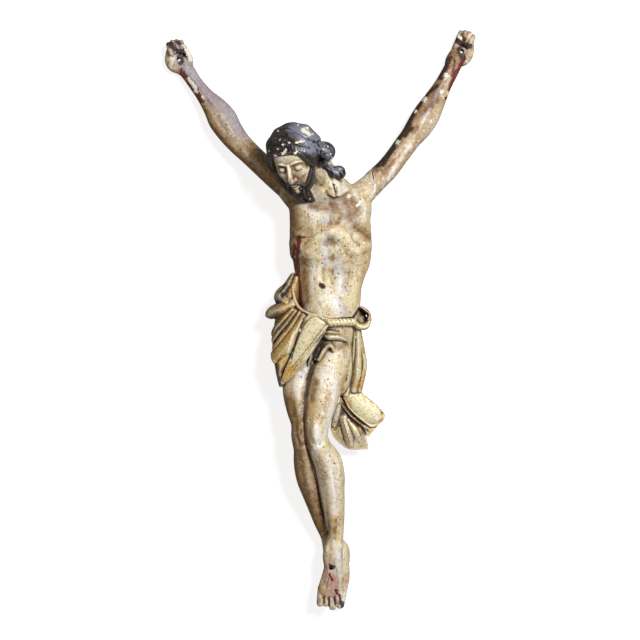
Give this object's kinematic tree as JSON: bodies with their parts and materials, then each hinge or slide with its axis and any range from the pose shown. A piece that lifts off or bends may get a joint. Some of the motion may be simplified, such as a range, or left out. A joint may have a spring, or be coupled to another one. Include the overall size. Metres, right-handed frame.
{
  "type": "carved corpus figure",
  "caption": "Painted and gilded wooden corpus figure with raised arms, bowed bearded head, roped loincloth and crossed feet, pierced for nails.",
  "frame": {"origin": "middle of the figure's width and length, in the plane that it lies on", "axes": "+X to the right as the figure is seen from the front, +Y towards the raised hands, +Z out of its front"},
  "size_m": [0.3136, 0.585, 0.1033],
  "materials": {
    "painted_wood": "aged oil paint on flesh, dark paint on hair, worn gilding on cloth"
  },
  "bodies": {
    "root": {"body": "painted_wood", "right_arm": "painted_wood", "left_arm": "painted_wood"}
  },
  "joints": []
}
